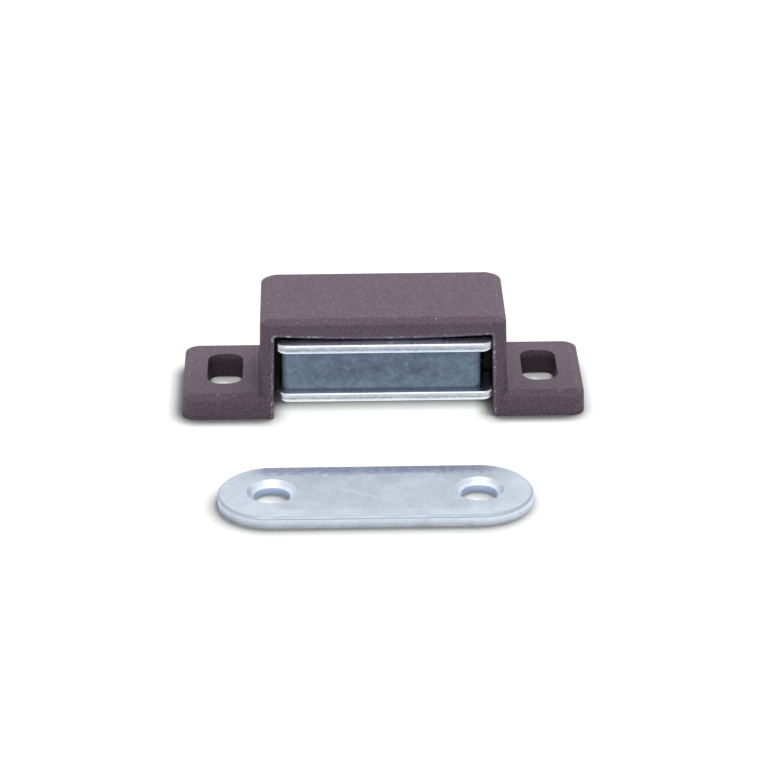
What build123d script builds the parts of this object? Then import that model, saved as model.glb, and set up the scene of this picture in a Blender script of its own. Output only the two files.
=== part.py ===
"""Magnetic cabinet catch with its strike plate.

The origin is on the mounting face, midway between the two screw slots. +X runs along the
catch, -Y is the working direction towards the strike plate, and +Z is up from the surface.
"""

import os
from math import radians, tan

from build123d import *

# Magnet pack: a ferrite block between two steel pole plates
pole_depth = 15.9  # along Y
pole_thickness = 1.35
pole_corner_radius = 1.4
pole_edge_radius = 0.3  # rolled edge left by the press tool
pole_protrusion = 1.2  # pole edges in front of the housing's front face
pole_overhang = 1.08  # pole plates beyond each end of the magnet
magnet_length = 28.5  # along X
magnet_thickness = 6.25
magnet_corner_radius = 1.5
magnet_recess = 1.05  # magnet's front and back behind the pole edges
pack_bottom = 3.25  # underside of the lower pole plate
pack_offset = 0.11  # the loose pack rests a little to the right
magnet_offset = -0.41  # the magnet is clamped a little left of the upper pole plate's middle
lower_pole_offset = 0.22  # and the lower pole plate a little right of it

# Float and clearances of the pack in its housing
pack_float = 0.4  # travel each way along Y
fit_clearance = 0.1  # left over at each end of the float
end_clearance = 0.25  # beside the upper pole plate's ends
roof_clearance = 0.2
back_clearance = 1.5
rib_clearance = 0.25  # between a rib and the pole notch's floor
magnet_clearance = 0.16  # between a rib and the nearer end of the magnet
nose_clearance = 0.15  # between the snap noses and the lower pole plate

# Housing
draft_angle = 1.5  # on every upright moulded wall
side_wall = 2.1
back_wall = 2.3
roof_thickness = 2.4
lip_sag = 0.45  # the roof's underside hangs lower in the middle
lip_corner_radius = 0.4
rim_radius = 0.25  # round the opening's front edge
block_corner_radius = 2.8
block_front_radius = 1.8
bevel_width = 1.2  # bevel round all top edges, measured along the top
bevel_drop = 0.6  # and down the side
bevel_softening = 0.3  # radius on both edges of the bevel

# Screw ears
ear_length = 11.15  # each, beyond the block
ear_thickness = 3.65
ear_corner_radius = 2.1
slot_from_block = 5.0  # slot centre beyond the block's side
slot_from_front = 9.35
slot_width = 5.2
slot_length = 9.8
slot_corner_radius = 2.0

# Retaining ribs on the inside of the side walls
rib_thickness = 3.2  # along Y
rib_from_front = 7.5
nose_reach = 1.05  # snap nose beyond the rib, under the lower pole plate
nose_edge = 0.4  # upright edge at the nose's tip
nose_base = 0.8  # height at which the nose's lead-in leaves the wall

# Strike plate
strike_length = 43.2
strike_width = 14.6
strike_thickness = 1.8
strike_roll_width = 1.9  # shallow roll-off round the top, left by the blanking tool
strike_roll_drop = 0.15
strike_edge_break = 0.25  # small bevel under the roll-off
strike_hole_spacing = 28.4
strike_hole_radius = 2.55
strike_sink_radius = 3.4
strike_gap = 17.85  # from the housing's front face to the strike plate's back edge
strike_offset = -1.7

# Places that follow from the sizes above
slope = tan(radians(draft_angle))
pole_length = magnet_length + 2 * pole_overhang
pack_top = pack_bottom + 2 * pole_thickness + magnet_thickness
roof_height = pack_top + roof_clearance + lip_sag
block_height = roof_height + roof_thickness

opening_length = pole_length + 2 * (end_clearance + pack_top * slope)
roof_length = opening_length - 2 * roof_height * slope
block_length = opening_length + 2 * side_wall
overall_length = block_length + 2 * ear_length
slot_spacing = block_length + 2 * slot_from_block

front = -slot_from_front
cavity_depth = pole_depth - pole_protrusion + back_clearance
housing_depth = cavity_depth + back_wall

pole_middle = front - pole_protrusion + pole_depth / 2
rib_middle = front + rib_from_front
rib_tip = magnet_length / 2 + abs(pack_offset + magnet_offset) + magnet_clearance
notch_floor = rib_tip - rib_clearance - pack_offset - lower_pole_offset
notch_depth = pole_length / 2 - notch_floor
notch_width = rib_thickness + 2 * (pack_float + fit_clearance)
nose_top = pack_bottom - nose_clearance


def bevel_top(height):
    """A softened bevel round the top face of the moulding that stands at this height."""
    top = faces().sort_by(Axis.Z)[-1]
    chamfer(top.edges(), length=bevel_width, length2=bevel_drop, reference=top)
    fillet(faces().sort_by(Axis.Z)[-1].edges(), radius=bevel_softening)
    level = height - bevel_drop
    shoulder = edges().filter_by(Plane.XY).filter_by_position(Axis.Z, level - 0.01, level + 0.01)
    fillet(shoulder, radius=bevel_softening)


# Housing: foot plate with the ears, then the block, then its opening and its ribs
with BuildPart() as housing:
    with BuildSketch() as foot:
        with Locations((0, front + housing_depth / 2)):
            RectangleRounded(overall_length, housing_depth, ear_corner_radius)
    extrude(amount=ear_thickness, taper=draft_angle)
    bevel_top(ear_thickness)

    with BuildSketch() as block:
        with Locations((0, front + housing_depth / 2)):
            Rectangle(block_length, housing_depth)
        fillet(block.vertices().group_by(Axis.Y)[0], radius=block_front_radius)
        fillet(block.vertices().group_by(Axis.Y)[-1], radius=block_corner_radius)
    extrude(amount=block_height, taper=draft_angle)
    bevel_top(block_height)

    # The opening is wider at the mounting face, and its roof is bowed
    with BuildSketch(Plane.XZ.offset(-(front + cavity_depth))) as opening:
        with BuildLine():
            roof = ThreePointArc(
                (-roof_length / 2, roof_height),
                (0, roof_height - lip_sag),
                (roof_length / 2, roof_height),
            )
            Polyline(roof @ 1, (opening_length / 2, 0), (-opening_length / 2, 0), roof @ 0)
        make_face()
        fillet(opening.vertices().group_by(Axis.Y)[-1], radius=lip_corner_radius)
    extrude(amount=cavity_depth, mode=Mode.SUBTRACT)
    rim = (
        edges()
        .filter_by_position(Axis.X, -opening_length / 2, opening_length / 2)
        .filter_by_position(Axis.Y, front, front + block_height * slope)
        .filter_by_position(Axis.Z, 0, roof_height)
    )
    fillet(rim, radius=rim_radius)

    # Each rib runs down the side wall and ends in a snap nose under the pack
    with BuildSketch(Plane.XZ.offset(-(rib_middle + rib_thickness / 2))) as ribs:
        with BuildLine():
            Polyline(
                (opening_length / 2 + side_wall / 2, nose_base),
                (rib_tip - nose_reach, nose_top - nose_edge),
                (rib_tip - nose_reach, nose_top),
                (rib_tip, nose_top),
                (rib_tip, roof_height + lip_sag),
                (opening_length / 2 + side_wall / 2, roof_height + lip_sag),
                close=True,
            )
        make_face()
        mirror(about=Plane.YZ)
    extrude(amount=rib_thickness)

    with BuildSketch() as slots:
        with GridLocations(slot_spacing, 0, 2, 1):
            RectangleRounded(slot_width, slot_length, slot_corner_radius)
    extrude(amount=ear_thickness, mode=Mode.SUBTRACT)
housing.part.label = "housing"

# Magnet: a plain ferrite block with rounded upright edges
with BuildPart() as magnet:
    with BuildSketch(Plane.XY.offset(pack_bottom + pole_thickness)):
        with Locations((pack_offset + magnet_offset, pole_middle)):
            RectangleRounded(
                magnet_length, pole_depth - 2 * magnet_recess, magnet_corner_radius
            )
    extrude(amount=magnet_thickness)
magnet.part.label = "magnet"


def pole_plate(name, underside, middle):
    """One steel pressing, notched at both ends to pass the housing's ribs."""
    with BuildPart() as plate:
        with BuildSketch(Plane.XY.offset(underside)):
            with Locations((middle, pole_middle)):
                RectangleRounded(pole_length, pole_depth, pole_corner_radius)
        extrude(amount=pole_thickness)
        fillet(plate.edges().group_by(Axis.Z)[0], radius=pole_edge_radius)
        fillet(plate.edges().group_by(Axis.Z)[-1], radius=pole_edge_radius)

        with BuildSketch(Plane.XY.offset(underside)):
            with Locations((middle, rib_middle)):
                with GridLocations(pole_length, 0, 2, 1):
                    Rectangle(2 * notch_depth, notch_width)
        extrude(amount=pole_thickness, mode=Mode.SUBTRACT)
    plate.part.label = name
    return plate.part


lower_pole_plate = pole_plate("lower_pole_plate", pack_bottom, pack_offset + lower_pole_offset)
upper_pole_plate = pole_plate("upper_pole_plate", pack_top - pole_thickness, pack_offset)

# Strike plate: round-ended, with two countersunk screw holes
with BuildPart() as strike_plate:
    with BuildSketch():
        with Locations((strike_offset, front - strike_gap - strike_width / 2)):
            SlotOverall(strike_length, strike_width)
    extrude(amount=strike_thickness)
    top = faces().sort_by(Axis.Z)[-1]
    chamfer(top.edges(), length=strike_roll_width, length2=strike_roll_drop, reference=top)
    shoulder = edges().filter_by(Plane.XY).group_by(Axis.Z)[-2]
    chamfer(shoulder, length=strike_edge_break)
    with Locations(Plane(top.center())):
        with GridLocations(strike_hole_spacing, 0, 2, 1):
            CounterSinkHole(strike_hole_radius, strike_sink_radius, counter_sink_angle=90)
strike_plate.part.label = "strike_plate"

os.makedirs("parts", exist_ok=True)
for piece in (
    housing.part,
    magnet.part,
    lower_pole_plate,
    upper_pole_plate,
    strike_plate.part,
):
    export_step(piece, f"parts/{piece.label}.step")
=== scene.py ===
"""Looks of the magnetic catch: finishes, fine surface detail, studio and camera.

Lengths are in metres, in the CAD frame: +X along the catch, -Y towards the strike plate, +Z up.
"""

from math import cos, radians, sin

import bpy
from mathutils import Matrix, Vector


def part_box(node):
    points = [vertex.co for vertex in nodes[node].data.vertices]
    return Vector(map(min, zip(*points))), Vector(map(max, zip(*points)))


MM = 0.001

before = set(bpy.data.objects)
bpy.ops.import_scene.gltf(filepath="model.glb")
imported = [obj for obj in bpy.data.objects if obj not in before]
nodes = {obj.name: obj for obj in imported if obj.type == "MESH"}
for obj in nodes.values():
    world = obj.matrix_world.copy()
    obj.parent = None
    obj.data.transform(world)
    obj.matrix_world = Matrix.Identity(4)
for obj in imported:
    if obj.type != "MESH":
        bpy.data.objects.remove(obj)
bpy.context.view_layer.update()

housing_low, housing_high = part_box("housing")
strike_low, strike_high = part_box("strike_plate")
strike_middle = (strike_low + strike_high) / 2
strike_half_width = (strike_high.y - strike_low.y) / 2
strike_half_straight = (strike_high.x - strike_low.x) / 2 - strike_half_width

scene = bpy.context.scene

# Sizes of the CAD model that the finishes follow
DRAFT = 0.026  # lean of the moulded walls
OPENING_HALF = 15.9 * MM  # half the opening's width at the mounting face
LIP_MIDDLE = 12.4 * MM  # height of the bowed roof's underside at the middle
LIP_SAG = 0.45 * MM
RIM_RADIUS = 0.25 * MM
CAVITY_DEPTH = 16.2 * MM
BLOCK_HALF = 17.9 * MM  # half the block's length, where it meets the ears
EAR_TOP = 3.65 * MM
SLOT_MIDDLE = 23 * MM
SLOT_HALF_WIDTH = 2.6 * MM
SLOT_HALF_LENGTH = 4.9 * MM
ROLL_WIDTH = 1.9 * MM  # rolled-off border of the strike plate
EDGE_BREAK = 0.25 * MM  # small bevel under it
SINK_DEPTH = 0.85 * MM  # depth of the countersinks

# Places of painted light and a scratch, the strike plate's measured from its middle
FOOT_HIGHLIGHT_X = BLOCK_HALF + 0.5 * MM  # painted highlight on the ears along the foot of the block
BORDER_REFLECTION_ENDS = (14.5 * MM, 18 * MM)  # the painted reflection on the border fades out between these
SCRATCH_START = Vector((-9 * MM, 2.4 * MM))
SCRATCH_END = Vector((4.5 * MM, -4.2 * MM))

# Colours of the housing
PLASTIC_DARK = (0.142, 0.1, 0.138)
PLASTIC_LIGHT = (0.158, 0.116, 0.154)
PLASTIC_WARM = (0.17, 0.102, 0.134)
PLASTIC_GRAIN = (0.2, 0.15, 0.19)
PLASTIC_FLECK = (0.4, 0.36, 0.4)
# Painted highlight along the opening's rim, and painted glints on it
RIM_HIGHLIGHT = (0.26, 0.21, 0.26)
RIM_GLINT = (0.75, 0.72, 0.76)
# Spots on the edges: partly wear, partly a painted highlight
WEAR_AND_GLINT_SPOT = (0.6, 0.56, 0.6)
# Painted highlight along the foot of the block
FOOT_HIGHLIGHT = (0.24, 0.19, 0.24)

# Colours of the magnet pack
FERRITE_DARK = (0.148, 0.212, 0.305)
FERRITE_LIGHT = (0.255, 0.342, 0.468)
FERRITE_GRAIN = (0.4, 0.46, 0.52)
POLE_ZINC = (0.6, 0.64, 0.675)
# Painted highlight on the pole plates' tops
POLE_TOP_HIGHLIGHT = (0.8, 0.86, 0.97)
# Painted shade: the darker streak along the middle of the pole plates' cut edge
EDGE_MID_SHADE = (0.34, 0.355, 0.37)

# Colours of the strike plate
STRIKE_ZINC = (0.665, 0.73, 0.815)
# Painted reflection along the strike plate's back border
BORDER_REFLECTION = (0.38, 0.41, 0.585)
HOLE_WALL = (0.58, 0.68, 0.94)
SCRATCHED_ZINC = (0.74, 0.8, 0.88)
# Painted shade on the bevel under the border, in the middle and at the ends
BEVEL_SHADE_MIDDLE = (0.33, 0.38, 0.435)
BEVEL_SHADE_ENDS = (0.46, 0.52, 0.59)

# The floor glows white where it is open; less glow beside and under the object is a painted shadow
CONTACT_REACH = 2.8 * MM
CONTACT_SHADE = (0.5, 0.98)  # openness at which the glow is gone and full
CONTACT_LIGHT = (0.24, 0.34, 0.9)  # direction in which the openness is measured
PACK_SHADE = (2.2 * MM, 5.7 * MM)  # painted shadow: the glow under the pack fades between these depths
SLOT_GLOW = 0.36  # least glow inside the ear slots, painted light there


# Shader building blocks


class Shader:
    """A material under construction: makes nodes, links them and keeps the bump chain."""

    def __init__(self, name):
        self.material = bpy.data.materials.new(name)
        self.material.use_nodes = True
        self.tree = self.material.node_tree
        self.tree.nodes.clear()
        output = self.add("ShaderNodeOutputMaterial")
        self.surface = self.add("ShaderNodeBsdfPrincipled")
        self.link(self.surface.outputs["BSDF"], output.inputs["Surface"])
        coordinates = self.add("ShaderNodeTexCoord")
        self.place = coordinates.outputs["Object"]
        self.part = coordinates.outputs["Generated"]  # 0 to 1 across the piece's box
        self.normal = None

    def add(self, kind, **settings):
        node = self.tree.nodes.new(kind)
        for name, value in settings.items():
            setattr(node, name, value)
        return node

    def link(self, source, target):
        self.tree.links.new(source, target)

    def feed(self, value, socket):
        """Sets a socket from a number, a colour or another node's output."""
        if isinstance(value, bpy.types.NodeSocket):
            self.link(value, socket)
        elif socket.type == "RGBA":
            socket.default_value = (*value, 1)
        else:
            socket.default_value = value

    def set(self, name, value):
        """Sets one property of the surface."""
        self.feed(value, self.surface.inputs[name])

    def axis(self, letter, place=None):
        """One coordinate of the place on the surface."""
        node = self.add("ShaderNodeSeparateXYZ")
        self.link(place or self.place, node.inputs[0])
        return node.outputs[letter]

    def off_middle(self, letter):
        """How far a place lies from the origin along one axis, on either side."""
        return self.absolute(self.axis(letter))

    def stretched(self, scale):
        """Object coordinates multiplied by a scale for each axis."""
        mapping = self.add("ShaderNodeMapping")
        mapping.inputs["Scale"].default_value = scale
        self.link(self.place, mapping.inputs["Vector"])
        return mapping.outputs["Vector"]

    def noise(self, size, detail=2.0, rough=0.5, place=None, distortion=0.0):
        """Noise whose features are about the given size across."""
        node = self.add("ShaderNodeTexNoise")
        node.inputs["Scale"].default_value = 1 / size
        node.inputs["Detail"].default_value = detail
        node.inputs["Roughness"].default_value = rough
        node.inputs["Distortion"].default_value = distortion
        self.link(place or self.place, node.inputs["Vector"])
        return node.outputs["Fac"]

    def math(self, operation, a, b=0.0):
        node = self.add("ShaderNodeMath", operation=operation)
        self.feed(a, node.inputs[0])
        self.feed(b, node.inputs[1])
        return node.outputs["Value"]

    def absolute(self, value):
        return self.math("ABSOLUTE", value)

    def product(self, value, *others):
        for other in others:
            value = self.math("MULTIPLY", value, other)
        return value

    def greatest(self, value, *others):
        for other in others:
            value = self.math("MAXIMUM", value, other)
        return value

    def spread(self, value, low, high, to_low=0.0, to_high=1.0, form="SMOOTHSTEP"):
        """Maps the range low..high of a value to to_low..to_high, and holds it outside."""
        node = self.add("ShaderNodeMapRange", interpolation_type=form)
        self.feed(value, node.inputs["Value"])
        node.inputs["From Min"].default_value = low
        node.inputs["From Max"].default_value = high
        self.feed(to_low, node.inputs["To Min"])
        self.feed(to_high, node.inputs["To Max"])
        return node.outputs["Result"]

    def vary(self, noise, low, high):
        """Maps noise, which mostly lies between 0.3 and 0.7, to low..high."""
        return self.spread(noise, 0.3, 0.7, low, high)

    def fade(self, value, low, high, strength=1.0):
        """The strength where a value is below low, falling to 0 at high."""
        return self.spread(value, low, high, strength, 0.0)

    def ridge(self, value, middle, half_width, crest=0.0):
        """1 where a value is within the crest of the middle, falling to 0 at the half width."""
        off = self.absolute(self.math("SUBTRACT", value, middle))
        return self.fade(off, crest, half_width)

    def mix(self, factor, a, b):
        node = self.add("ShaderNodeMix", data_type="RGBA")
        self.feed(factor, node.inputs["Factor"])
        self.feed(a, node.inputs["A"])
        self.feed(b, node.inputs["B"])
        return node.outputs["Result"]

    def shade(self, color, brightness):
        """A colour made darker or lighter by a factor."""
        node = self.add("ShaderNodeVectorMath", operation="SCALE")
        self.feed(color, node.inputs[0])
        self.feed(brightness, node.inputs["Scale"])
        return node.outputs["Vector"]

    def darken(self, color, share):
        """A colour that loses a share of its brightness."""
        return self.shade(color, self.math("SUBTRACT", 1.0, share))

    def openness(self, reach, towards):
        """1 in the open, and lower where something stands near in the given direction."""
        node = self.add("ShaderNodeAmbientOcclusion", samples=8)
        lean = self.add("ShaderNodeVectorMath", operation="NORMALIZE")
        lean.inputs[0].default_value = towards
        self.link(lean.outputs["Vector"], node.inputs["Normal"])
        node.inputs["Distance"].default_value = reach
        return node.outputs["AO"]

    def bump(self, height, depth):
        """Adds a height pattern of the given depth to the surface."""
        node = self.add("ShaderNodeBump")
        node.inputs["Distance"].default_value = depth
        self.link(height, node.inputs["Height"])
        if self.normal:
            self.link(self.normal, node.inputs["Normal"])
        self.normal = node.outputs["Normal"]

    def done(self):
        if self.normal:
            self.set("Normal", self.normal)
        return self.material


# Housing


def opening_distance(shader):
    """How far a place lies outside the housing's opening, seen from the front."""
    x = shader.off_middle("X")
    z = shader.axis("Z")
    side = shader.math("SUBTRACT", OPENING_HALF, shader.product(z, DRAFT))
    across = shader.math("SUBTRACT", x, side)
    along = shader.math("DIVIDE", x, OPENING_HALF)
    bow = shader.product(shader.math("POWER", along, 2.0), LIP_SAG)
    above = shader.math("SUBTRACT", z, shader.math("ADD", bow, LIP_MIDDLE))
    return shader.greatest(across, above)


def face_depth(shader):
    """How far a place lies behind the housing's front face, which leans with the draft."""
    lean = shader.product(shader.axis("Z"), DRAFT)
    face = shader.math("ADD", lean, housing_low.y)
    return shader.math("SUBTRACT", shader.axis("Y"), face)


def on_ears(shader):
    """1 beyond the block's sides."""
    return shader.spread(shader.off_middle("X"), BLOCK_HALF, BLOCK_HALF + 0.3 * MM)


def above_ear_sides(shader):
    """1 from the bevels of the ears upwards."""
    return shader.spread(shader.axis("Z"), EAR_TOP - 0.7 * MM, EAR_TOP - 0.4 * MM)


def painted_rim_highlight(shader, tone, spot_noise):
    """Paints a pale highlight along the thin rim of the opening, with a few bright painted glints.
    """
    rim = shader.product(
        shader.ridge(opening_distance(shader), RIM_RADIUS, 1.2 * RIM_RADIUS),
        shader.fade(face_depth(shader), RIM_RADIUS, 1.4 * RIM_RADIUS),
    )
    lit_rim = shader.product(rim, shader.spread(spot_noise, 0.35, 0.6, 0.2, 0.9))
    bright = shader.product(rim, shader.spread(spot_noise, 0.56, 0.64))
    return shader.mix(bright, shader.mix(lit_rim, tone, RIM_HIGHLIGHT), RIM_GLINT)


def worn_and_glinting_edges(shader, tone, spot_noise):
    """Pale spots, part wear and part painted highlight, on the block's upper edge and the ears'
    upper and lower edges.
    """
    z = shader.axis("Z")
    block_top = shader.ridge(z, housing_high.z - 0.12 * MM, 0.12 * MM)
    ear_top = shader.ridge(z, EAR_TOP - 0.12 * MM, 0.14 * MM)
    ear_foot = shader.ridge(z, 0.1 * MM, 0.14 * MM)
    ear_edges = shader.product(shader.greatest(ear_top, ear_foot), on_ears(shader))
    edges = shader.greatest(block_top, ear_edges)
    spots = shader.product(edges, shader.spread(spot_noise, 0.6, 0.68, 0.0, 0.8))
    return shader.mix(spots, tone, WEAR_AND_GLINT_SPOT)


def painted_foot_highlight(shader, tone, mottle):
    """Paints a broken pale highlight on the ears, along the foot of the block's sides."""
    line = shader.product(
        shader.ridge(shader.off_middle("X"), FOOT_HIGHLIGHT_X, 0.2 * MM),
        shader.spread(mottle, 0.3, 0.6, 0.2, 0.8),
        above_ear_sides(shader),
    )
    return shader.mix(line, tone, FOOT_HIGHLIGHT)


def painted_hollow_shade(shader, tone):
    """Paints shade into the slots, the cavity and the corner between the block and its foot line.
    """
    x = shader.off_middle("X")
    # Painted shade, darker towards the bottom of the slot walls
    slots = shader.product(
        shader.ridge(x, SLOT_MIDDLE, SLOT_HALF_WIDTH + 0.3 * MM, crest=SLOT_HALF_WIDTH + 0.1 * MM),
        shader.fade(
            shader.off_middle("Y"), SLOT_HALF_LENGTH + 0.1 * MM, SLOT_HALF_LENGTH + 0.5 * MM
        ),
        shader.fade(shader.axis("Z"), 0.6 * EAR_TOP, 0.97 * EAR_TOP, 0.6),
    )
    depth = face_depth(shader)
    cavity = shader.product(
        shader.fade(opening_distance(shader), RIM_RADIUS, 2 * RIM_RADIUS, 0.93),
        shader.spread(depth, 0.4 * MM, 2.5 * MM),
        shader.fade(depth, CAVITY_DEPTH + 0.3 * MM, CAVITY_DEPTH + 0.8 * MM),
    )
    corner = shader.product(shader.ridge(x, BLOCK_HALF, 0.4 * MM), above_ear_sides(shader), 0.3)
    return shader.darken(tone, shader.greatest(slots, cavity, corner))


def dim_ear_fronts(shader, tone):
    """Darkens the ears' top faces a little at the front, and not at the back."""
    y = shader.axis("Y")
    dimmed = shader.product(
        above_ear_sides(shader), on_ears(shader), shader.fade(y, -7 * MM, 5 * MM, 0.2)
    )
    return shader.darken(tone, dimmed)


def moulded_plastic():
    """Mauve-brown plastic: fine spark-eroded grain, pale specks, a painted pale highlight on the
    rim and painted shade in the hollows.
    """
    shader = Shader("moulded_plastic")
    cloud = shader.noise(2.6 * MM, detail=4, rough=0.6)
    warmth = shader.noise(1.7 * MM, detail=2, place=shader.stretched((0.6, 1.0, 1.0)))
    mottle = shader.noise(0.36 * MM, detail=3, rough=0.75)
    grain = shader.noise(0.2 * MM, detail=3, rough=0.65)
    fleck = shader.noise(0.32 * MM, detail=1)
    spot_noise = shader.noise(0.55 * MM, detail=3, rough=0.7)

    tone = shader.mix(shader.vary(cloud, 0.0, 1.0), PLASTIC_DARK, PLASTIC_LIGHT)
    tone = shader.mix(shader.spread(warmth, 0.5, 0.75, 0.0, 0.5), tone, PLASTIC_WARM)
    tone = shader.shade(tone, shader.vary(mottle, 0.62, 1.38))
    tone = shader.mix(shader.spread(grain, 0.35, 0.72, 0.0, 0.4), tone, PLASTIC_GRAIN)
    tone = shader.mix(shader.spread(fleck, 0.7, 0.8, 0.0, 0.5), tone, PLASTIC_FLECK)

    tone = painted_rim_highlight(shader, tone, spot_noise)
    tone = worn_and_glinting_edges(shader, tone, spot_noise)
    tone = painted_foot_highlight(shader, tone, mottle)
    tone = painted_hollow_shade(shader, tone)
    tone = dim_ear_fronts(shader, tone)

    shader.set("Base Color", tone)
    shader.set("Roughness", shader.vary(cloud, 0.46, 0.58))
    shader.set("Specular IOR Level", 0.25)
    shader.bump(grain, 0.02 * MM)
    return shader.done()


# Magnet pack


def ferrite():
    """Dull slate-blue sintered ferrite: grinding blotches, dark smudges and painted shade at its
    foot.
    """
    shader = Shader("ferrite")
    along = shader.axis("X", shader.part)
    height = shader.axis("Z", shader.part)
    blotch = shader.noise(1.9 * MM, detail=5, rough=0.7, distortion=0.4)
    cloud = shader.noise(0.6 * MM, detail=3, rough=0.6)
    grain = shader.noise(0.22 * MM, detail=2, rough=0.6)
    smear = shader.noise(1.0 * MM, detail=4, rough=0.7, place=shader.stretched((0.6, 1.0, 1.0)))

    color = shader.mix(shader.spread(blotch, 0.32, 0.68), FERRITE_DARK, FERRITE_LIGHT)
    color = shader.shade(color, shader.vary(cloud, 0.86, 1.14))
    color = shader.mix(shader.spread(grain, 0.66, 0.8, 0.0, 0.3), color, FERRITE_GRAIN)
    smudges = shader.product(
        shader.ridge(height, 0.5, 0.36),
        shader.spread(smear, 0.4, 0.6, 0.25, 1.0),
        shader.ridge(along, 0.52, 0.48, crest=0.2),
    )
    color = shader.shade(color, shader.math("SUBTRACT", 1.06, shader.product(smudges, 0.42)))
    # Painted contact shade along the foot, where the magnet meets the lower pole plate
    color = shader.shade(color, shader.spread(height, 0.02, 0.1, 0.3, 1.0))

    shader.set("Base Color", color)
    shader.set("Roughness", shader.vary(blotch, 0.36, 0.5))
    shader.bump(grain, 0.012 * MM)
    return shader.done()


def plated_steel(name, tint, roughness):
    """Starts a material of bright zinc plating over rolled strip. Returns its colour too."""
    shader = Shader(name)
    rolled = shader.noise(
        0.3 * MM, detail=3, rough=0.6, place=shader.stretched((0.08, 1.0, 1.0))
    )
    cloud = shader.noise(3.2 * MM, detail=3)
    mottle = shader.noise(0.5 * MM, detail=3, rough=0.65)
    color = shader.shade(tint, shader.vary(cloud, 0.93, 1.07))
    color = shader.shade(color, shader.vary(mottle, 0.95, 1.05))
    shader.set("Metallic", 1.0)
    shader.set("Roughness", shader.vary(cloud, roughness - 0.04, roughness + 0.04))
    shader.bump(rolled, 0.003 * MM)
    return shader, color


def pole_zinc():
    """Pole plates: bright zinc, a painted dull streak along the cut edge, and painted highlights
    at top and bottom.
    """
    shader, color = plated_steel("pole_zinc", POLE_ZINC, roughness=0.3)
    height = shader.axis("Z", shader.part)
    wander = shader.noise(0.8 * MM, detail=3, rough=0.6)
    broken = shader.noise(0.4 * MM, detail=3, rough=0.7)
    level = shader.math("ADD", height, shader.spread(wander, 0.2, 0.8, -0.12, 0.12))
    # Painted shade: a darker streak along the middle of the edge
    mid_shade = shader.product(
        shader.ridge(level, 0.5, 0.22), shader.spread(broken, 0.3, 0.6, 0.3, 1.0)
    )
    color = shader.mix(mid_shade, color, EDGE_MID_SHADE)
    # Painted highlight on the top, and a painted brighter lower part
    color = shader.mix(shader.spread(height, 0.95, 0.99), color, POLE_TOP_HIGHLIGHT)
    color = shader.shade(color, shader.spread(height, 0.15, 0.4, 1.5, 1.0))
    shader.set("Base Color", color)
    return shader.done()


# Strike plate


def from_strike_middle(shader):
    """X and Y measured from the middle of the strike plate."""
    return [
        shader.math("SUBTRACT", shader.axis(letter), middle)
        for letter, middle in zip("XY", strike_middle)
    ]


def strike_distance(shader):
    """How far a place lies inside the strike plate's outline."""
    x, y = from_strike_middle(shader)
    x = shader.greatest(shader.math("SUBTRACT", shader.absolute(x), strike_half_straight), 0.0)
    squares = shader.math("ADD", shader.product(x, x), shader.product(y, y))
    return shader.math("SUBTRACT", strike_half_width, shader.math("SQRT", squares))


def painted_border_reflection(shader, color):
    """Paints a blue reflection on the border along the back edge, with a ragged inner edge."""
    x, y = from_strike_middle(shader)
    ragged = shader.noise(0.9 * MM, detail=3, rough=0.6)
    mottle = shader.noise(0.7 * MM, detail=4, rough=0.7)
    reach = shader.math("ADD", y, shader.vary(ragged, -0.4 * MM, 0.4 * MM))
    start = strike_half_width - 1.6 * ROLL_WIDTH
    full = strike_half_width - 1.1 * ROLL_WIDTH
    reflection = shader.product(
        shader.spread(reach, start, full),
        shader.spread(mottle, 0.35, 0.65, 0.45, 1.0),
        shader.fade(shader.absolute(x), *BORDER_REFLECTION_ENDS),
    )
    return shader.mix(reflection, color, BORDER_REFLECTION)


def blue_hole_walls(shader, color):
    """Makes the walls of the screw holes blue, below their countersinks."""
    sink_foot = strike_high.z - SINK_DEPTH
    walls = shader.product(
        shader.fade(shader.axis("Z"), sink_foot - 0.1 * MM, sink_foot + 0.05 * MM),
        shader.spread(strike_distance(shader), 1 * MM, 2 * MM),
    )
    return shader.mix(walls, color, HOLE_WALL)


def faint_scratch(shader, color):
    """Draws one faint scratch askew across the plate."""
    x, y = from_strike_middle(shader)
    run = SCRATCH_END - SCRATCH_START
    along = shader.math("SUBTRACT", x, SCRATCH_START.x)
    line = shader.math("ADD", shader.product(along, run.y / run.x), SCRATCH_START.y)
    scratch = shader.product(
        shader.ridge(shader.math("SUBTRACT", y, line), 0.0, 0.5 * MM),
        shader.ridge(x, SCRATCH_START.x + run.x / 2, run.x / 2),
    )
    return shader.mix(scratch, color, SCRATCHED_ZINC)


def painted_edge_shading(shader, color):
    """Paints shade on the bevel under the border, less at the ends, and paints the side and its
    foot lighter.
    """
    x, _ = from_strike_middle(shader)
    height = shader.axis("Z")
    bevel_foot = (strike_high.z - 2.2 * EDGE_BREAK, strike_high.z - 1.8 * EDGE_BREAK)
    bevel = shader.product(
        shader.fade(strike_distance(shader), EDGE_BREAK, 1.3 * EDGE_BREAK),
        shader.spread(height, *bevel_foot),
    )
    at_ends = shader.spread(shader.absolute(x), 13 * MM, 19 * MM)
    color = shader.mix(bevel, color, shader.mix(at_ends, BEVEL_SHADE_MIDDLE, BEVEL_SHADE_ENDS))
    # Painted light on the side below the bevel, and more at its foot
    color = shader.shade(color, shader.spread(height, *bevel_foot, 1.15, 1.0))
    return shader.shade(color, shader.spread(height, 0.1 * MM, 0.4 * MM, 1.1, 1.0))


def strike_zinc():
    """Strike plate: satin zinc, a painted blue reflection on the border, blue hole walls and a
    scratch.
    """
    shader, color = plated_steel("strike_zinc", STRIKE_ZINC, roughness=0.5)
    color = painted_border_reflection(shader, color)
    color = blue_hole_walls(shader, color)
    color = faint_scratch(shader, color)
    color = painted_edge_shading(shader, color)
    shader.set("Base Color", color)
    return shader.done()


# Each CAD node gets its finish


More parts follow.
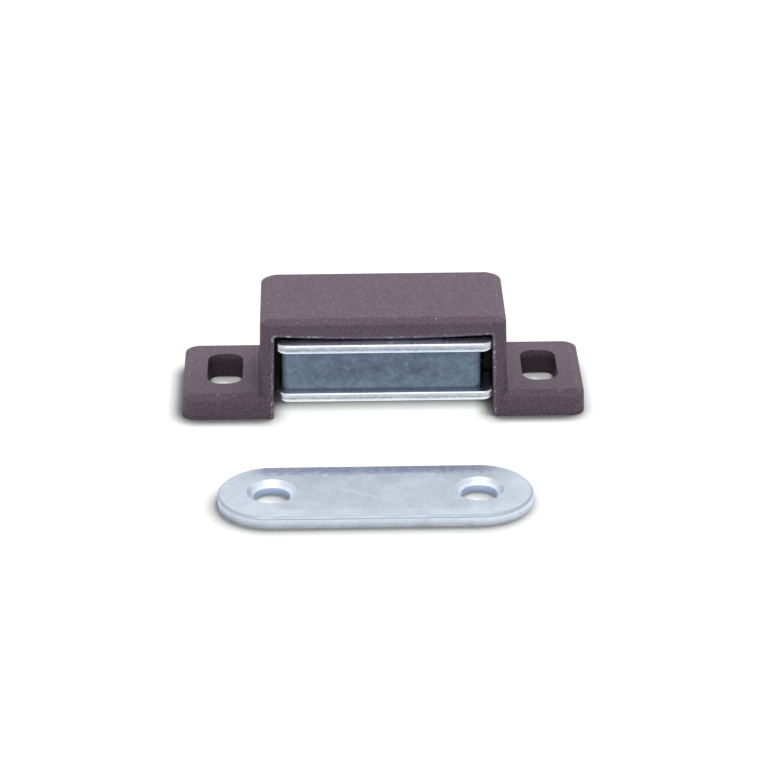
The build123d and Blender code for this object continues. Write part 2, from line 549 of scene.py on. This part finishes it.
def dress(node, material):
    piece = nodes[node]
    piece.data.materials.clear()
    piece.data.materials.append(material)


dress("housing", moulded_plastic())
dress("magnet", ferrite())
poles = pole_zinc()
dress("upper_pole_plate", poles)
dress("lower_pole_plate", poles)
dress("strike_plate", strike_zinc())


# Studio: white surroundings, a pale floor with the object's shadow and a painted one near it, two
# soft lights


def shown_ray(tree):
    """1 for camera, glossy and transmission rays, which see the white background."""
    path = tree.nodes.new("ShaderNodeLightPath")
    shown = path.outputs["Is Camera Ray"]
    for kind in ("Is Glossy Ray", "Is Transmission Ray"):
        either = tree.nodes.new("ShaderNodeMath")
        either.operation = "MAXIMUM"
        tree.links.new(shown, either.inputs[0])
        tree.links.new(path.outputs[kind], either.inputs[1])
        shown = either.outputs[0]
    return shown


def white_world(fill):
    """White to look at, and a weaker fill light on the object."""
    world = bpy.data.worlds.new("studio")
    world.use_nodes = True
    tree = world.node_tree
    tree.nodes.clear()
    output = tree.nodes.new("ShaderNodeOutputWorld")
    mix = tree.nodes.new("ShaderNodeMixShader")
    for place, strength in ((1, fill), (2, 1.0)):
        background = tree.nodes.new("ShaderNodeBackground")
        background.inputs["Color"].default_value = (1, 1, 1, 1)
        background.inputs["Strength"].default_value = strength
        tree.links.new(background.outputs[0], mix.inputs[place])
    tree.links.new(shown_ray(tree), mix.inputs["Fac"])
    tree.links.new(mix.outputs[0], output.inputs["Surface"])
    scene.world = world


def glow_left(shader):
    """Share of the floor's glow that is left beside and under the object: a painted shadow, with
    painted light in the slots.
    """
    open_share = shader.openness(CONTACT_REACH, towards=CONTACT_LIGHT)
    beside = shader.spread(open_share, *CONTACT_SHADE, form="LINEAR")
    x = shader.off_middle("X")
    y = shader.off_middle("Y")
    painted_slot_light = shader.product(
        shader.ridge(x, SLOT_MIDDLE, SLOT_HALF_WIDTH, crest=SLOT_HALF_WIDTH - 0.9 * MM),
        shader.fade(y, SLOT_HALF_LENGTH - 0.8 * MM, SLOT_HALF_LENGTH, SLOT_GLOW),
    )
    depth = shader.math("SUBTRACT", shader.axis("Y"), housing_low.y)
    painted_shadow_under_pack = shader.product(
        shader.spread(depth, *PACK_SHADE, 0.0, 0.9, form="LINEAR"),
        shader.math("LESS_THAN", depth, CAVITY_DEPTH),
        shader.math("LESS_THAN", x, OPENING_HALF),
    )
    left_under_pack = shader.math("SUBTRACT", 1.0, painted_shadow_under_pack)
    return shader.product(shader.greatest(beside, painted_slot_light), left_under_pack)


def pale_floor(size, albedo, bounce, glow):
    """Looks white where light reaches it, and keeps the soft shadow close to the object, partly
    painted by dimming its glow.
    """
    bpy.ops.mesh.primitive_plane_add(size=size, location=(0, 0, 0))
    floor = bpy.context.object
    floor.name = "floor"
    shader = Shader("floor_paint")
    shown = shown_ray(shader.tree)
    paint = shader.mix(shown, (bounce, bounce, bounce), (albedo, albedo, albedo))
    shader.set("Base Color", paint)
    shader.set("Roughness", 1.0)
    shader.set("Specular IOR Level", 0.0)
    shader.set("Emission Color", (1, 1, 1))
    shader.set("Emission Strength", shader.product(glow_left(shader), glow, shown))
    floor.data.materials.append(shader.done())


def soft_light(name, direction, distance, size, power, mirrored):
    """A round softbox that faces the object, and shows in reflections or not."""
    data = bpy.data.lights.new(name, "AREA")
    data.shape = "DISK"
    data.size = size
    data.energy = power
    light = bpy.data.objects.new(name, data)
    towards = Vector(direction).normalized()
    light.location = towards * distance
    light.rotation_euler = (-towards).to_track_quat("-Z", "Y").to_euler()
    light.visible_glossy = mirrored
    scene.collection.objects.link(light)


white_world(fill=0.25)
pale_floor(size=4.0, albedo=0.3, bounce=0.6, glow=0.88)
soft_light(
    "key", direction=(0.12, 0.55, 0.8), distance=0.8, size=0.4, power=3.47, mirrored=False
)
soft_light(
    "front", direction=(0, -0.6, 0.8), distance=0.8, size=0.5, power=1.85, mirrored=True
)


# Camera


def photo_camera():
    """Looks down on the catch's front face from its left-hand side, almost square on."""
    elevation = radians(26.41)
    heading = radians(1.257)
    roll = radians(-0.183)
    distance = 436.24 * MM
    aim = Vector((-0.091 * MM, housing_low.y, 5.598 * MM))

    forward = Vector(
        (
            sin(heading) * cos(elevation),
            cos(heading) * cos(elevation),
            -sin(elevation),
        )
    )
    level = Vector((cos(heading), -sin(heading), 0))
    up = level.cross(forward)
    right = level * cos(roll) + up * sin(roll)
    up = up * cos(roll) - level * sin(roll)

    data = bpy.data.cameras.new("camera")
    data.lens = 142.7
    data.sensor_width = 36
    data.clip_start = 0.01
    data.clip_end = 20
    camera = bpy.data.objects.new("camera", data)
    turn = Matrix((right, up, -forward)).transposed()
    camera.matrix_world = Matrix.Translation(aim - forward * distance) @ turn.to_4x4()
    scene.collection.objects.link(camera)
    scene.camera = camera


photo_camera()
scene.view_settings.view_transform = "Standard"
